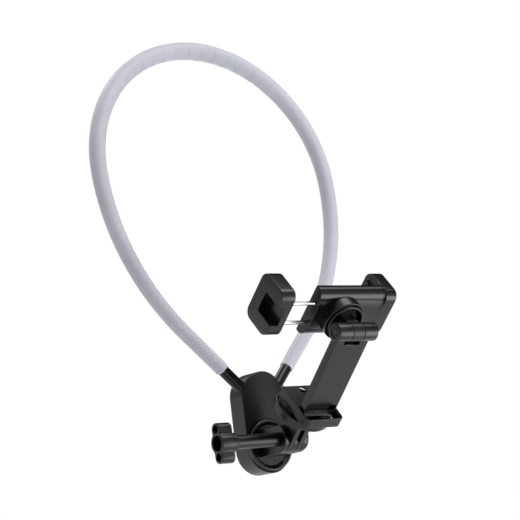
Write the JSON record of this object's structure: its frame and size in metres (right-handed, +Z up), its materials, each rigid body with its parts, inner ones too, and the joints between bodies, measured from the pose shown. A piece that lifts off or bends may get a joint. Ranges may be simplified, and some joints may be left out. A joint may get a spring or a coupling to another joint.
{
  "type": "neck phone holder",
  "caption": "Hands-free phone holder: a bendable silicone neck hoop carries a chest piece, a finger joint with a thumb screw, a folding arm and a swivelling sprung clamp.",
  "frame": {"origin": "centre of the chest piece's back face", "axes": "+Z up as worn, -Y out from the chest towards the viewer, +X to the viewer's right"},
  "size_m": [0.1974, 0.1937, 0.2897],
  "materials": {
    "black_plastic": "fine satin grain",
    "satin_black": "smooth satin",
    "gloss_black": "polished",
    "grey_silicone": "soft matte",
    "black_rubber": "matte",
    "steel": "plain",
    "dark_steel": "black oxide",
    "chrome": "polished",
    "brass": "plain"
  },
  "bodies": {
    "chest_piece": {"pendant_shell": "black_plastic", "pendant_cover": "black_plastic", "pendant_screws": "dark_steel", "neck_sleeve": "grey_silicone", "neck_core": "steel", "left_ferrule": "gloss_black", "right_ferrule": "gloss_black", "finger_mount": "black_plastic", "mount_screw": "steel", "captive_nut": "steel"},
    "thumb": {"thumb_knob": "black_plastic", "thumb_screw": "dark_steel"},
    "adapter_table": {"adapter": "black_plastic", "adapter_stud": "steel"},
    "tray_base": {"tray": "black_plastic", "tray_insert": "brass", "arm_pin": "steel"},
    "arm_blade": {"arm": "satin_black", "hinge_screw": "satin_black", "hinge_nut": "dark_steel"},
    "leaf": {"swivel_leaf": "black_plastic", "swivel_screw": "steel", "swivel_washer": "steel"},
    "clamp": {"clamp_body": "satin_black", "clamp_plate": "black_plastic", "plate_screws": "dark_steel", "clamp_pad": "black_rubber", "fixed_jaw": "satin_black", "fixed_jaw_screws": "dark_steel", "fixed_jaw_pad": "black_rubber", "jaw_springs": "steel"},
    "jaw": {"moving_jaw": "satin_black", "moving_jaw_pad": "black_rubber", "jaw_rods": "chrome", "rod_stops": "steel"}
  },
  "joints": [
    {"name": "thumb_turn", "type": "hinge", "parent": "chest_piece", "child": "thumb", "pos_m": [0, -0.03853, -0.00488], "axis": [1, 0, 0], "continuous": true},
    {"name": "finger_tilt", "type": "hinge", "parent": "chest_piece", "child": "adapter_table", "pos_m": [0, -0.03853, -0.00488], "axis": [1, 0, 0], "range_deg": [-25, 45]},
    {"name": "tray_swivel", "type": "hinge", "parent": "adapter_table", "child": "tray_base", "pos_m": [0, -0.05617, 0.01939], "axis": [0, -0.5878, 0.809], "range_deg": [-60, 60]},
    {"name": "arm_fold", "type": "hinge", "parent": "tray_base", "child": "arm_blade", "pos_m": [0, -0.06661, 0.01471], "axis": [1, 0, 0], "range_deg": [0, 40]},
    {"name": "clamp_tilt", "type": "hinge", "parent": "arm_blade", "child": "leaf", "pos_m": [0, -0.10273, 0.06782], "axis": [1, 0, 0], "range_deg": [-15, 75]},
    {"name": "clamp_rotate", "type": "hinge", "parent": "leaf", "child": "clamp", "pos_m": [0, -0.08947, 0.07646], "axis": [0, 0.809, 0.5878], "continuous": true},
    {"name": "jaw_slide", "type": "slide", "parent": "clamp", "child": "jaw", "axis": [-1, 0, 0], "range_m": [-0.0165, 0.013], "stiffness_N_per_m": 200, "springref_m": -0.03, "deforming": ["jaw_springs"]}
  ]
}
